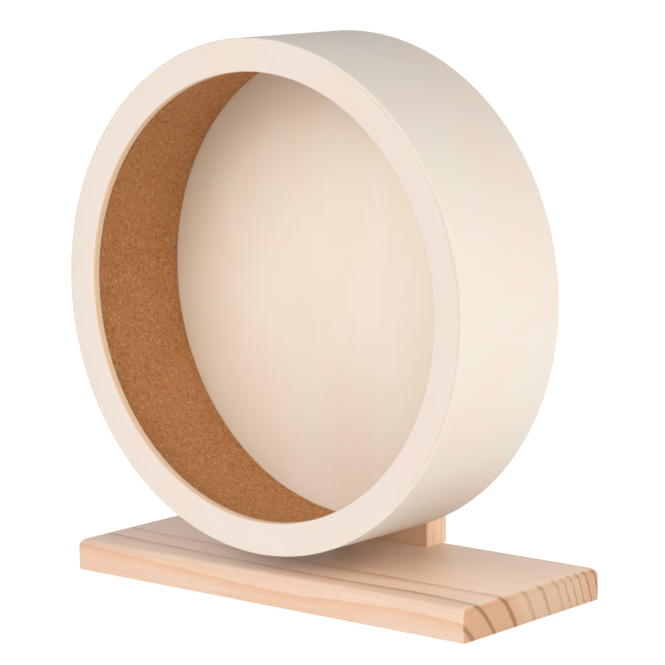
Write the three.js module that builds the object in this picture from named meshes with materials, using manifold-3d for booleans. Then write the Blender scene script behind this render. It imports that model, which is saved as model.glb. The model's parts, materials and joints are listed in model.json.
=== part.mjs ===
// A wooden exercise wheel for small pets: a cork-lined plywood drum, open at the front, that turns on two
// ball bearings in an upright post on a pine base board.
//
// Units are millimetres. +Z is up, the drum's mouth faces -Y and the long side of the board runs along X.
// The origin is the centre of the board's underside.

import * as THREE from 'three';
import { mergeVertices } from 'three/addons/utils/BufferGeometryUtils.js';
import Module from 'manifold-3d';

const wasm = await Module();
wasm.setup();

// ---------------------------------------------------------------- driving dimensions

// Base board
const BOARD_LENGTH = 280;
const BOARD_DEPTH = 120;
const BOARD_THICKNESS = 18;
const BOARD_TOP_ROUND = 4.5; // radius along the four top edges
const BOARD_CORNER_RADIUS = 1.5; // upright corners

// Post
const POST_WIDTH = 70;
const POST_THICKNESS = 18;
const POST_ABOVE_AXLE = 40;
const POST_CORNER_RADIUS = 15; // the two top corners, seen from the front
const POST_EASED_EDGE = 1;

// Dowels and screws between the board and the post
const DOWEL_DIAMETER = 8;
const DOWEL_IN_BOARD = 11;
const DOWEL_IN_POST = 18;
const DOWEL_SPACING = 20;
const DOWEL_CHAMFER = 0.8;
const DOWEL_END_ROOM = 1; // space left beyond each end of a dowel for glue
const POST_SCREW_DIAMETER = 4.5;
const POST_SCREW_BITE = 32; // length in the post
const POST_SCREW_SPACING = 46;
const POST_SCREW_SINK = 0.5; // how far the heads lie below the wood
const SCREW_TIP_SHARE = 0.8; // length of a screw's tip, as a share of its diameter

// Drum
const WHEEL_RADIUS = 140;
const DRUM_DEPTH = 84;
const WALL_THICKNESS = 2;
const WALL_EASED_EDGE = 0.5;
const RING_WIDTH = 15.7; // radial width of the ring in the drum's mouth
const RING_THICKNESS = 5;
const RING_EASED_EDGE = 0.6;
const DISC_THICKNESS = 4;
const CORK_THICKNESS = 5.5;
const CORK_JOINT = 0.4; // width of the butt joint where the strip's ends meet
const CORK_JOINT_ANGLE = 20; // degrees from +X, seen from the front
const WHEEL_BOARD_GAP = 10;

// Hub
const HUB_DIAMETER = 60;
const HUB_THICKNESS = 14;
const HUB_ROUND = 2.5; // radius of the rim at the hub's back
const HUB_SCREW_COUNT = 4;
const HUB_SCREW_DIAMETER = 3.5;
const HUB_SCREW_CIRCLE = 42;
const HUB_SCREW_COVER = 1; // wood left in front of each screw's tip
const HUB_SCREW_SINK = 0.4;

// Axle: an M8 bolt with its washers, spacers and lock nut
const BOLT_DIAMETER = 8;
const BOLT_HEAD_ACROSS_FLATS = 13;
const BOLT_HEAD_HEIGHT = 5.3;
const BOLT_STANDOUT = 5; // bolt beyond the nut
const BOLT_TIP_CHAMFER = 1;
const NUT_ACROSS_FLATS = 13;
const NUT_HEIGHT = 8;
const NUT_COLLAR_HEIGHT = 2.6; // round collar that holds the nylon ring
const NUT_COLLAR_DIAMETER = 11.6;
const NUT_INSERT_DEPTH = 1.8;
const NUT_COLLAR_WALL = 0.6;
const NUT_COLLAR_LIP = 0.4; // collar beyond the nylon ring
const HEX_FLAT_SHARE = 0.48; // radius of the flat on a chamfered end, as a share of the width across flats
const HEX_CHAMFER_ANGLE = 30;
const HUB_WASHER_DIAMETER = 24;
const HUB_WASHER_THICKNESS = 2;
const REAR_WASHER_DIAMETER = 16;
const REAR_WASHER_THICKNESS = 1.6;
const FRONT_SPACER_LENGTH = 2;
const SPACER_DIAMETER = 12;

// Ball bearings, 8 x 22 x 7
const BEARING_BORE = 8;
const BEARING_DIAMETER = 22;
const BEARING_WIDTH = 7;
const BALL_DIAMETER = 3.97;
const BALL_COUNT = 7;
const RACE_DEPTH = 0.48; // how deep the balls sit in each race's land
const RACE_CLEARANCE = 0.2;
const RACE_CHAMFER = 0.4;
const SHIELD_THICKNESS = 0.3;
const SHIELD_SINK = 0.3; // shield behind the face of the rings
const SHIELD_SEAT = 0.6; // step in the outer ring that holds the shield
const SHIELD_GAP = 0.4; // between a shield and the inner ring
const CAGE_WALL = 1.7; // radial width of the cage
const CAGE_FLOOR = 0.4; // cage behind the deepest point of a pocket
const CAGE_GRIP = 1.2; // how far the pockets' walls reach past the balls' centres
const BEARING_SHOULDER = 2; // wood between the two bearing seats, measured radially

// Clearances
const GLUE_LINE = 0.3; // between glued or seated pieces
const FIT = 0.15; // between hardware and the hole that holds it

const CUT_PAST = 1; // how far a cutter reaches past the piece it cuts

// Facets
const DRUM_SEGMENTS = 96;
const HUB_SEGMENTS = 36;
const BEARING_SEGMENTS = 24;
const SMALL_SEGMENTS = 18;
const SCREW_SEGMENTS = 12;
const BALL_FACETS = [8, 6]; // round the ball and from pole to pole
const POCKET_FACETS = [8, 6];
const GROOVE_STEPS = 3;
const EDGE_STEPS = 2; // along each eased edge
const HUB_ROUND_STEPS = 4;
const BOARD_ROUND_STEPS = 6;
const BOARD_CORNER_STEPS = 3;
const POST_CORNER_STEPS = 8;

// ---------------------------------------------------------------- derived places

const axleZ = BOARD_THICKNESS + WHEEL_BOARD_GAP + WHEEL_RADIUS;
const postBackY = BOARD_DEPTH / 2;
const postFrontY = postBackY - POST_THICKNESS;
const postMiddleY = postBackY - POST_THICKNESS / 2;

// The stack on the bolt, from the post forwards: spacer, washer, hub, back disc.
const hubWasherBackY = postFrontY - FRONT_SPACER_LENGTH;
const hubBackY = hubWasherBackY - HUB_WASHER_THICKNESS;
const drumBackY = hubBackY - HUB_THICKNESS;
const drumFrontY = drumBackY - DRUM_DEPTH;
const discFrontY = drumBackY - DISC_THICKNESS;
const headRecessDepth = BOLT_HEAD_HEIGHT + GLUE_LINE;
const headSeatY = drumBackY + headRecessDepth;
const nutFrontY = postBackY + REAR_WASHER_THICKNESS;
const boltTipY = nutFrontY + NUT_HEIGHT + BOLT_STANDOUT;

const cavityRadius = WHEEL_RADIUS - WALL_THICKNESS - GLUE_LINE;
const ringInnerRadius = cavityRadius - RING_WIDTH;
const boltRadius = BOLT_DIAMETER / 2;
const boltHoleRadius = boltRadius + 2 * FIT;
const nutWallRadius = NUT_COLLAR_DIAMETER / 2 - NUT_COLLAR_WALL;

// ---------------------------------------------------------------- materials

function look(color, roughness, metalness = 0) {
  return new THREE.MeshStandardMaterial({ color, roughness, metalness });
}

const pine = look(0xe8c8a6, 0.6);
const plywood = look(0xf0e4d4, 0.6);
const cork = look(0xb27a50, 0.9);
const beech = look(0xd9b48a, 0.6);
const zinc = look(0xc8ccd0, 0.35, 1);
const bearingSteel = look(0xb8bcc0, 0.2, 1);
const cageNylon = look(0xd8d2c0, 0.5);
const nutNylon = look(0xe8ecf2, 0.5);

// ---------------------------------------------------------------- shape helpers

const radians = THREE.MathUtils.degToRad;

function named(name, geometry, material) {
  const mesh = new THREE.Mesh(geometry, material);
  mesh.name = name;
  return mesh;
}

function place(object, x, y, z) {
  object.position.set(x, y, z);
  return object;
}

// A copy of a geometry with shared vertices, as the boolean library needs.
function welded(geometry) {
  const copy = geometry.clone();
  for (const attribute of ['normal', 'uv']) copy.deleteAttribute(attribute);
  return mergeVertices(copy, 1e-4);
}

function toSolid(geometry) {
  const shared = welded(geometry);
  const mesh = new wasm.Mesh({
    numProp: 3,
    vertProperties: new Float32Array(shared.attributes.position.array),
    triVerts: new Uint32Array(shared.index.array),
  });
  return new wasm.Manifold(mesh);
}

function toGeometry(solid) {
  const mesh = solid.getMesh();
  const geometry = new THREE.BufferGeometry();
  geometry.setAttribute('position', new THREE.BufferAttribute(mesh.vertProperties, 3));
  geometry.setIndex(new THREE.BufferAttribute(mesh.triVerts, 1));
  return geometry;
}

// base minus every cutter
function cut(base, cutters) {
  return toGeometry(cutters.reduce((solid, cutter) => solid.subtract(toSolid(cutter)), toSolid(base)));
}

// A solid of revolution about Y. The profile is a list of [radius, y]; it closes by itself, along the axis if
// its ends lie there. It runs so that the faces point out.
function turned(profile, segments) {
  const points = profile.map(([radius, y]) => new THREE.Vector2(radius, y));
  const onAxis = points[0].x === 0 && points[points.length - 1].x === 0;
  if (!onAxis) points.push(points[0].clone());
  return new THREE.LatheGeometry(points, segments);
}

// A cylinder along Y from y0 to y1.
const rod = (radius, y0, y1, segments) => turned([[0, y0], [radius, y0], [radius, y1], [0, y1]], segments);

// A plain tube along Y from y0 to y1.
const tube = (inner, outer, y0, y1, segments) =>
  turned([[inner, y0], [outer, y0], [outer, y1], [inner, y1]], segments);

// A cylinder along Z from z0 to z1.
function uprightRod(radius, z0, z1, segments) {
  return rod(radius, z0, z1, segments).rotateX(Math.PI / 2);
}

// A quarter of a circle as [radius, y] points, from angle0 to angle1 in degrees.
function arc(centreRadius, centreY, size, angle0, angle1, steps) {
  return Array.from({ length: steps + 1 }, (_, i) => {
    const angle = radians(angle0 + ((angle1 - angle0) * i) / steps);
    return [centreRadius + size * Math.cos(angle), centreY + size * Math.sin(angle)];
  });
}

// An outline with rounded corners; corner radii go round from the lower left, counter-clockwise.
function roundedOutline(x0, y0, x1, y1, radii) {
  const [lowerLeft, lowerRight, upperRight, upperLeft] = radii;
  const shape = new THREE.Shape();
  shape.moveTo(x0 + lowerLeft, y0);
  shape.lineTo(x1 - lowerRight, y0);
  if (lowerRight > 0) shape.absarc(x1 - lowerRight, y0 + lowerRight, lowerRight, -Math.PI / 2, 0, false);
  shape.lineTo(x1, y1 - upperRight);
  if (upperRight > 0) shape.absarc(x1 - upperRight, y1 - upperRight, upperRight, 0, Math.PI / 2, false);
  shape.lineTo(x0 + upperLeft, y1);
  if (upperLeft > 0) shape.absarc(x0 + upperLeft, y1 - upperLeft, upperLeft, Math.PI / 2, Math.PI, false);
  shape.lineTo(x0, y0 + lowerLeft);
  if (lowerLeft > 0) shape.absarc(x0 + lowerLeft, y0 + lowerLeft, lowerLeft, Math.PI, 1.5 * Math.PI, false);
  return shape;
}

const hexagonCornerRadius = (acrossFlats) => acrossFlats / 2 / Math.cos(Math.PI / 6);

function hexagon(acrossFlats) {
  const radius = hexagonCornerRadius(acrossFlats);
  const corners = Array.from({ length: 6 }, (_, i) => {
    const angle = (i * Math.PI) / 3;
    return new THREE.Vector2(radius * Math.cos(angle), radius * Math.sin(angle));
  });
  return new THREE.Shape(corners);
}

// A shape extruded along +Y from y0 to y1; the shape's own Y becomes Z.
function extrudedAlongY(shape, y0, y1, curveSegments = SMALL_SEGMENTS) {
  const geometry = new THREE.ExtrudeGeometry(shape, { depth: y1 - y0, bevelEnabled: false, curveSegments });
  return geometry.rotateX(Math.PI / 2).translate(0, y1, 0);
}

// ---------------------------------------------------------------- fasteners

// A countersunk wood screw along +Y: head at y = 0, tip at y = length.
function woodScrew(diameter, length) {
  const headRadius = diameter;
  const shank = diameter / 2;
  const headHeight = headRadius - shank;
  const tipLength = SCREW_TIP_SHARE * diameter;
  return turned(
    [[0, 0], [headRadius, 0], [shank, headHeight], [shank, length - tipLength], [0, length]],
    SCREW_SEGMENTS,
  );
}

// The hole for such a screw, open behind the head, with the head sunk by `sink`. The screw's head is at y = 0.
function woodScrewHole(diameter, length, sink) {
  const headRadius = diameter + FIT;
  const shank = diameter / 2 + FIT;
  const open = -sink - CUT_PAST;
  return turned([
    [0, open],
    [headRadius, open],
    [headRadius, FIT],
    [shank, FIT + headRadius - shank],
    [shank, length + FIT],
    [0, length + FIT],
  ], SCREW_SEGMENTS);
}

// ---------------------------------------------------------------- base board

const postScrewLength = BOARD_THICKNESS - POST_SCREW_SINK + POST_SCREW_BITE;
const postScrewX = [['left', -POST_SCREW_SPACING / 2], ['right', POST_SCREW_SPACING / 2]];
const dowelX = [['left', -DOWEL_SPACING / 2], ['right', DOWEL_SPACING / 2]];

// Turns a fastener made along +Y upright, with its head at height z.
const upright = (geometry, x, z) => geometry.rotateX(Math.PI / 2).translate(x, postMiddleY, z);

const dowelHole = (x) => uprightRod(
  DOWEL_DIAMETER / 2 + FIT,
  BOARD_THICKNESS - DOWEL_IN_BOARD - DOWEL_END_ROOM,
  BOARD_THICKNESS + DOWEL_IN_POST + DOWEL_END_ROOM,
  SMALL_SEGMENTS,
).translate(x, postMiddleY, 0);

const postScrewHole = (x) => upright(
  woodScrewHole(POST_SCREW_DIAMETER, postScrewLength, POST_SCREW_SINK), x, POST_SCREW_SINK,
);

const stationHoles = () => [
  ...dowelX.map(([, x]) => dowelHole(x)),
  ...postScrewX.map(([, x]) => postScrewHole(x)),
];

// The board as rings of one rounded rectangle: straight sides, then a quarter round drawn in to the top.
function boardGeometry() {
  const levels = [[0, 0]];
  for (let i = 0; i <= BOARD_ROUND_STEPS; i += 1) {
    const angle = (i / BOARD_ROUND_STEPS) * (Math.PI / 2);
    const inset = BOARD_TOP_ROUND * (1 - Math.cos(angle));
    levels.push([inset, BOARD_THICKNESS - BOARD_TOP_ROUND * (1 - Math.sin(angle))]);
  }
  const positions = [];
  const signs = [[1, -1], [1, 1], [-1, 1], [-1, -1]];
  for (const [inset, z] of levels) {
    const halfX = BOARD_LENGTH / 2 - inset - BOARD_CORNER_RADIUS;
    const halfY = BOARD_DEPTH / 2 - inset - BOARD_CORNER_RADIUS;
    signs.forEach(([sx, sy], corner) => {
      for (let step = 0; step <= BOARD_CORNER_STEPS; step += 1) {
        const angle = -Math.PI / 2 + ((corner + step / BOARD_CORNER_STEPS) * Math.PI) / 2;
        const x = sx * halfX + BOARD_CORNER_RADIUS * Math.cos(angle);
        const y = sy * halfY + BOARD_CORNER_RADIUS * Math.sin(angle);
        positions.push(x, y, z);
      }
    });
  }
  const ring = signs.length * (BOARD_CORNER_STEPS + 1);
  const last = (levels.length - 1) * ring;
  const indices = [];
  for (let level = 0; level < levels.length - 1; level += 1) {
    for (let i = 0; i < ring; i += 1) {
      const a = level * ring + i;
      const b = level * ring + ((i + 1) % ring);
      indices.push(a, b, b + ring, a, b + ring, a + ring);
    }
  }
  for (let i = 1; i < ring - 1; i += 1) {
    indices.push(0, i + 1, i);
    indices.push(last, last + i, last + i + 1);
  }
  const geometry = new THREE.BufferGeometry();
  geometry.setAttribute('position', new THREE.Float32BufferAttribute(positions, 3));
  geometry.setIndex(indices);
  return geometry;
}

function makeBoard() {
  return named('base_board', cut(boardGeometry(), stationHoles()), pine);
}

// ---------------------------------------------------------------- post

function postGeometry() {
  const ease = POST_EASED_EDGE;
  const bottom = BOARD_THICKNESS - CUT_PAST;
  const top = axleZ + POST_ABOVE_AXLE;
  const outline = roundedOutline(
    -POST_WIDTH / 2 + ease, bottom, POST_WIDTH / 2 - ease, top - ease,
    [0, 0, POST_CORNER_RADIUS - ease, POST_CORNER_RADIUS - ease],
  );
  const blank = new THREE.ExtrudeGeometry(outline, {
    depth: POST_THICKNESS - 2 * ease,
    bevelEnabled: true,
    bevelThickness: ease,
    bevelSize: ease,
    bevelSegments: EDGE_STEPS,
    curveSegments: POST_CORNER_STEPS,
  });
  return blank.rotateX(Math.PI / 2).translate(0, postBackY - ease, 0);
}

// A box from below the board up to its top, that cuts the post off square where it stands.
function belowBoardTop() {
  const box = new THREE.BoxGeometry(2 * POST_WIDTH, 2 * BOARD_DEPTH, 2 * BOARD_THICKNESS);
  return box.translate(0, postMiddleY, 0);
}

function bearingSeats() {
  const seat = BEARING_DIAMETER / 2 + FIT;
  const web = BEARING_DIAMETER / 2 - BEARING_SHOULDER;
  const cutters = [
    rod(seat, postFrontY - CUT_PAST, postFrontY + BEARING_WIDTH, BEARING_SEGMENTS),
    rod(seat, postBackY - BEARING_WIDTH, postBackY + CUT_PAST, BEARING_SEGMENTS),
    rod(web, postFrontY - CUT_PAST, postBackY + CUT_PAST, BEARING_SEGMENTS),
  ];
  return cutters.map((cutter) => cutter.translate(0, 0, axleZ));
}

function makePost() {
  return named('post', cut(postGeometry(), [belowBoardTop(), ...bearingSeats(), ...stationHoles()]), pine);
}

function makePostFasteners() {
  const dowel = (x) => {
    const radius = DOWEL_DIAMETER / 2;
    const bottom = BOARD_THICKNESS - DOWEL_IN_BOARD;
    const top = BOARD_THICKNESS + DOWEL_IN_POST;
    const blunt = radius - DOWEL_CHAMFER;
    const profile = [
      [0, bottom],
      [blunt, bottom],
      [radius, bottom + DOWEL_CHAMFER],
      [radius, top - DOWEL_CHAMFER],
      [blunt, top],
      [0, top],
    ];
    return turned(profile, SMALL_SEGMENTS).rotateX(Math.PI / 2).translate(x, postMiddleY, 0);
  };
  const screw = (x) => upright(woodScrew(POST_SCREW_DIAMETER, postScrewLength), x, POST_SCREW_SINK);
  return [
    ...dowelX.map(([side, x]) => named(`post_dowel_${side}`, dowel(x), beech)),
    ...postScrewX.map(([side, x]) => named(`post_screw_${side}`, screw(x), zinc)),
  ];
}

// ---------------------------------------------------------------- drum

// The wheel's pieces are made about the Y axis; the assembly lifts them to the axle's height.

function makeDrumWall() {
  const inner = WHEEL_RADIUS - WALL_THICKNESS;
  const ease = WALL_EASED_EDGE;
  const profile = [
    [inner, drumFrontY],
    ...arc(WHEEL_RADIUS - ease, drumFrontY + ease, ease, -90, 0, EDGE_STEPS),
    ...arc(WHEEL_RADIUS - ease, drumBackY - ease, ease, 0, 90, EDGE_STEPS),
    [inner, drumBackY],
  ];
  return named('drum_wall', turned(profile, DRUM_SEGMENTS), plywood);
}

function makeFrontRing() {
  const ease = RING_EASED_EDGE;
  const back = drumFrontY + RING_THICKNESS;
  const profile = [
    [cavityRadius, drumFrontY],
    [cavityRadius, back],
    ...arc(ringInnerRadius + ease, back - ease, ease, 90, 180, EDGE_STEPS),
    ...arc(ringInnerRadius + ease, drumFrontY + ease, ease, 180, 270, EDGE_STEPS),
  ];
  return named('front_ring', turned(profile, DRUM_SEGMENTS), plywood);
}

// The lining is a strip bent round, so its ends meet in a butt joint.
function makeCorkLining() {
  const inner = cavityRadius - CORK_THICKNESS;
  const halfJoint = CORK_JOINT / 2 / inner;
  const start = radians(CORK_JOINT_ANGLE) + halfJoint;
  const span = 2 * Math.PI - 2 * halfJoint;
  const angles = Array.from({ length: DRUM_SEGMENTS + 1 }, (_, i) => start + (span * i) / DRUM_SEGMENTS);
  const around = (radius) => angles.map((a) => new THREE.Vector2(radius * Math.cos(a), radius * Math.sin(a)));
  const outline = new THREE.Shape([...around(inner), ...around(cavityRadius - GLUE_LINE).reverse()]);
  const front = drumFrontY + RING_THICKNESS + GLUE_LINE;
  return named('cork_lining', extrudedAlongY(outline, front, discFrontY - GLUE_LINE), cork);
}

function hubScrewPlaces() {
  const radius = HUB_SCREW_CIRCLE / 2;
  return Array.from({ length: HUB_SCREW_COUNT }, (_, i) => {
    const angle = ((i + 0.5) * 2 * Math.PI) / HUB_SCREW_COUNT;
    return [radius * Math.cos(angle), radius * Math.sin(angle)];
  });
}

const hubScrewLength = HUB_THICKNESS + DISC_THICKNESS - HUB_SCREW_COVER - HUB_SCREW_SINK;

// Turns a fastener made along +Y round to point forwards, with its head at the hub's back.
const forwards = (geometry, x, z) =>
  geometry.rotateX(Math.PI).translate(x, hubBackY - HUB_SCREW_SINK, z);

const hubScrewHoles = () => hubScrewPlaces().map(([x, z]) => forwards(
  woodScrewHole(HUB_SCREW_DIAMETER, hubScrewLength, HUB_SCREW_SINK), x, z,
));

function makeBackDisc() {
  const blank = rod(cavityRadius, discFrontY, drumBackY, DRUM_SEGMENTS);
  return named('back_disc', cut(blank, hubScrewHoles()), plywood);
}

// ---------------------------------------------------------------- hub

function makeHubBlock() {
  const radius = HUB_DIAMETER / 2;
  const profile = [
    [0, drumBackY],
    [radius, drumBackY],
    ...arc(radius - HUB_ROUND, hubBackY - HUB_ROUND, HUB_ROUND, 0, 90, HUB_ROUND_STEPS),
    [0, hubBackY],
  ];
  const recessOutline = hexagon(BOLT_HEAD_ACROSS_FLATS + 2 * FIT);
  const headRecess = extrudedAlongY(recessOutline, drumBackY - CUT_PAST, headSeatY);
  const bore = rod(boltHoleRadius, drumBackY - CUT_PAST, hubBackY + CUT_PAST, SMALL_SEGMENTS);
  const blank = turned(profile, HUB_SEGMENTS);
  return named('hub_block', cut(blank, [headRecess, bore, ...hubScrewHoles()]), beech);
}

function makeHubScrews() {
  return hubScrewPlaces().map(([x, z], i) => named(
    `hub_screw_${i + 1}`, forwards(woodScrew(HUB_SCREW_DIAMETER, hubScrewLength), x, z), zinc,
  ));
}

// ---------------------------------------------------------------- axle bolt and what it clamps

// A hexagonal prism along Y with the corners of its front end chamfered.
function chamferedHexagon(acrossFlats, y0, y1) {
  const flat = HEX_FLAT_SHARE * acrossFlats;
  const reach = hexagonCornerRadius(acrossFlats) + CUT_PAST;
  const chamferEndY = y0 + (reach - flat) * Math.tan(radians(HEX_CHAMFER_ANGLE));
  const cone = turned([[0, y0], [flat, y0], [reach, chamferEndY], [reach, y1], [0, y1]], SMALL_SEGMENTS);
  return toSolid(extrudedAlongY(hexagon(acrossFlats), y0, y1)).intersect(toSolid(cone));
}

function makeAxleBolt() {
  const headFrontY = headSeatY - BOLT_HEAD_HEIGHT;
  const head = chamferedHexagon(BOLT_HEAD_ACROSS_FLATS, headFrontY, headSeatY);
  const shank = turned([
    [0, headFrontY + CUT_PAST],
    [boltRadius, headFrontY + CUT_PAST],
    [boltRadius, boltTipY - BOLT_TIP_CHAMFER],
    [boltRadius - BOLT_TIP_CHAMFER, boltTipY],
    [0, boltTipY],
  ], SMALL_SEGMENTS);
  return named('axle_bolt', toGeometry(head.add(toSolid(shank))), zinc);
}

function makeLockNut() {
  const collarFrontY = nutFrontY + NUT_HEIGHT - NUT_COLLAR_HEIGHT;
  const backY = nutFrontY + NUT_HEIGHT;
  const insertFrontY = backY - NUT_INSERT_DEPTH;
  const insertBackY = backY - NUT_COLLAR_LIP;
  const body = chamferedHexagon(NUT_ACROSS_FLATS, nutFrontY, collarFrontY);
  const collar = toSolid(rod(NUT_COLLAR_DIAMETER / 2, collarFrontY - CUT_PAST, backY, SMALL_SEGMENTS));
  const bore = toSolid(rod(boltRadius + FIT, nutFrontY - CUT_PAST, backY + CUT_PAST, SMALL_SEGMENTS));
  const groove = toSolid(rod(nutWallRadius, insertFrontY - FIT, backY + CUT_PAST, SMALL_SEGMENTS));
  const nut = body.add(collar).subtract(bore).subtract(groove);
  const insert = tube(boltRadius + FIT, nutWallRadius - FIT, insertFrontY, insertBackY, SMALL_SEGMENTS);
  return [named('lock_nut', toGeometry(nut), zinc), named('lock_nut_insert', insert, nutNylon)];
}

function makeSpacers() {
  const inner = boltRadius + FIT;
  const piece = (name, diameter, y0, y1) =>
    named(name, tube(inner, diameter / 2, y0, y1, SMALL_SEGMENTS), zinc);
  return [
    piece('hub_washer', HUB_WASHER_DIAMETER, hubBackY, hubWasherBackY),
    piece('front_spacer', SPACER_DIAMETER, hubWasherBackY, postFrontY),
    piece('middle_spacer', SPACER_DIAMETER, postFrontY + BEARING_WIDTH, postBackY - BEARING_WIDTH),
    piece('rear_washer', REAR_WASHER_DIAMETER, postBackY, nutFrontY),
  ];
}

// ---------------------------------------------------------------- ball bearings

// One bearing about its own centre, with its axis along Y. Its balls run at the pitch radius, halfway between
// the bore and the rim, in grooves a little wider than the balls.
const pitchRadius = (BEARING_BORE + BEARING_DIAMETER) / 4;
const ballRadius = BALL_DIAMETER / 2;
const grooveRadius = ballRadius + RACE_CLEARANCE;
const innerLand = pitchRadius - ballRadius + RACE_DEPTH;
const outerLand = pitchRadius + ballRadius - RACE_DEPTH;

function innerRace() {
  const half = BEARING_WIDTH / 2;
  const bore = BEARING_BORE / 2 + FIT;
  const spread = THREE.MathUtils.radToDeg(Math.acos((pitchRadius - innerLand) / grooveRadius));
  return turned([
    [bore, -half],
    [innerLand - RACE_CHAMFER, -half],
    [innerLand, -half + RACE_CHAMFER],
    ...arc(pitchRadius, 0, grooveRadius, 180 + spread, 180 - spread, GROOVE_STEPS),
    [innerLand, half - RACE_CHAMFER],
    [innerLand - RACE_CHAMFER, half],
    [bore, half],
  ], BEARING_SEGMENTS);
}

function outerRace() {
  const half = BEARING_WIDTH / 2;
  const rim = BEARING_DIAMETER / 2;
  const seat = outerLand + SHIELD_SEAT;
  const seatY = half - SHIELD_SINK - SHIELD_THICKNESS - FIT;
  const spread = THREE.MathUtils.radToDeg(Math.acos((outerLand - pitchRadius) / grooveRadius));
  return turned([
    [rim - RACE_CHAMFER, -half],
    [rim, -half + RACE_CHAMFER],
    [rim, half - RACE_CHAMFER],
    [rim - RACE_CHAMFER, half],
    [seat, half],
    [seat, seatY],
    [outerLand, seatY],
    ...arc(pitchRadius, 0, grooveRadius, spread, -spread, GROOVE_STEPS),
    [outerLand, -seatY],
    [seat, -seatY],
    [seat, -half],
  ], BEARING_SEGMENTS);
}

function shield(side) {
  const outside = BEARING_WIDTH / 2 - SHIELD_SINK;
  const [y0, y1] = [side * outside, side * (outside - SHIELD_THICKNESS)].sort((a, b) => a - b);
  return tube(innerLand + SHIELD_GAP, outerLand + SHIELD_SEAT - FIT, y0, y1, BEARING_SEGMENTS);
}

const ballPlaces = Array.from({ length: BALL_COUNT }, (_, i) => {
  const angle = (i * 2 * Math.PI) / BALL_COUNT;
  return [pitchRadius * Math.cos(angle), pitchRadius * Math.sin(angle)];
});

// A snap cage: a ring with a round pocket for each ball, open towards one side.
function cage() {
  const pocket = ballRadius + RACE_CLEARANCE;
  const inner = pitchRadius - CAGE_WALL / 2;
  const ring = tube(inner, inner + CAGE_WALL, -pocket - CAGE_FLOOR, CAGE_GRIP, BEARING_SEGMENTS);
  const pocketBall = new THREE.SphereGeometry(pocket, ...POCKET_FACETS);
  return cut(ring, ballPlaces.map(([x, z]) => pocketBall.clone().translate(x, 0, z)));
}

function makeBearing(name, centreY) {
  const bearing = new THREE.Group();
  bearing.add(named(`${name}_outer`, outerRace(), bearingSteel));
  bearing.add(named(`${name}_inner`, innerRace(), bearingSteel));
  bearing.add(named(`${name}_shield_front`, shield(-1), zinc));
  bearing.add(named(`${name}_shield_rear`, shield(1), zinc));
  bearing.add(named(`${name}_cage`, cage(), cageNylon));
  ballPlaces.forEach(([x, z], i) => {
    const ball = new THREE.SphereGeometry(ballRadius, ...BALL_FACETS);
    bearing.add(place(named(`${name}_ball_${i + 1}`, ball, bearingSteel), x, 0, z));
  });
  return place(bearing, 0, centreY, axleZ);
}

// ---------------------------------------------------------------- assembly

const stand = new THREE.Group();
stand.add(makeBoard(), makePost(), ...makePostFasteners());

const wheel = new THREE.Group();
wheel.add(makeDrumWall(), makeFrontRing(), makeCorkLining(), makeBackDisc());
wheel.add(makeHubBlock(), ...makeHubScrews());
wheel.add(makeAxleBolt(), ...makeSpacers(), ...makeLockNut());
wheel.position.z = axleZ;

const exerciseWheel = new THREE.Group();
exerciseWheel.add(stand, wheel);
exerciseWheel.add(makeBearing('front_bearing', postFrontY + BEARING_WIDTH / 2));
exerciseWheel.add(makeBearing('rear_bearing', postBackY - BEARING_WIDTH / 2));

export default exerciseWheel;
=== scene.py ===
"""Looks of a wooden exercise wheel: a cork-lined plywood drum that turns on a pine stand.

Everything stays in the frame of the CAD part: +Z is up, the drum's mouth faces -Y and the long side of the
base board runs along X. Shapes are measured in millimetres and become metres where a mesh is made; the camera,
the lights and the floor are in metres.
"""

import json
import math
import random

import bmesh
import bpy
from mathutils import Matrix, Vector


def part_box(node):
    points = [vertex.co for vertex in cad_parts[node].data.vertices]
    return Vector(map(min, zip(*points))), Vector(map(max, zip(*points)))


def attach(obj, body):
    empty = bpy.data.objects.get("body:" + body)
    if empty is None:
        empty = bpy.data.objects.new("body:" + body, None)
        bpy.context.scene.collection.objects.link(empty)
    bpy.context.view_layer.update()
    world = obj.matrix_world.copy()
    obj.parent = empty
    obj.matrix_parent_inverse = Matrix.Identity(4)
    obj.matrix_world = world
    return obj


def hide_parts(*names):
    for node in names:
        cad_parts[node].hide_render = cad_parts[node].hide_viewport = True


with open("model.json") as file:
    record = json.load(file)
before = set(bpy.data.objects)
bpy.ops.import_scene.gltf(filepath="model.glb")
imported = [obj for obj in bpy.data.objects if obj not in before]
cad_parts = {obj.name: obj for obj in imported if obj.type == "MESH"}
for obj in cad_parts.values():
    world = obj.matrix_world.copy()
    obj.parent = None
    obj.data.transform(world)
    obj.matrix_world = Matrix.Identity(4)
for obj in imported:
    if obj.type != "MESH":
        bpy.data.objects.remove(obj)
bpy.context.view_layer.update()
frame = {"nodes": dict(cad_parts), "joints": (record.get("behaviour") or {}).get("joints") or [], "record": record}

MM = 0.001
NODES = frame["nodes"]


def millimetres(metres):
    """A length of the frame in mm, to the micrometre."""
    return round(metres / MM, 3)


def node_box(node):
    """The lowest and the highest corner of a CAD node, each as (x, y, z) in mm."""
    return [tuple(millimetres(v) for v in corner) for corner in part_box(node)]


# Stand
BOARD_HALF_X, BOARD_HALF_Y, BOARD_TOP = node_box("base_board")[1]
BOARD_ROUND = 4.5
BOARD_CORNER = 1.5
BOARD_FOOT_EASE = 0.35
(_, POST_FRONT, _), (POST_HALF_X, POST_BACK, POST_TOP) = node_box("post")
POST_CORNER = 15.0
POST_EASE = 1.0

# Bearing seats in the post
(_, seat_front, _), (bearing_radius, seat_back, _) = node_box("front_bearing_outer")
SEAT_DEPTH = seat_back - seat_front
SEAT_RADIUS = bearing_radius + 0.15
SEAT_LIP = 0.25
WEB_RADIUS = 9.0

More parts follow.
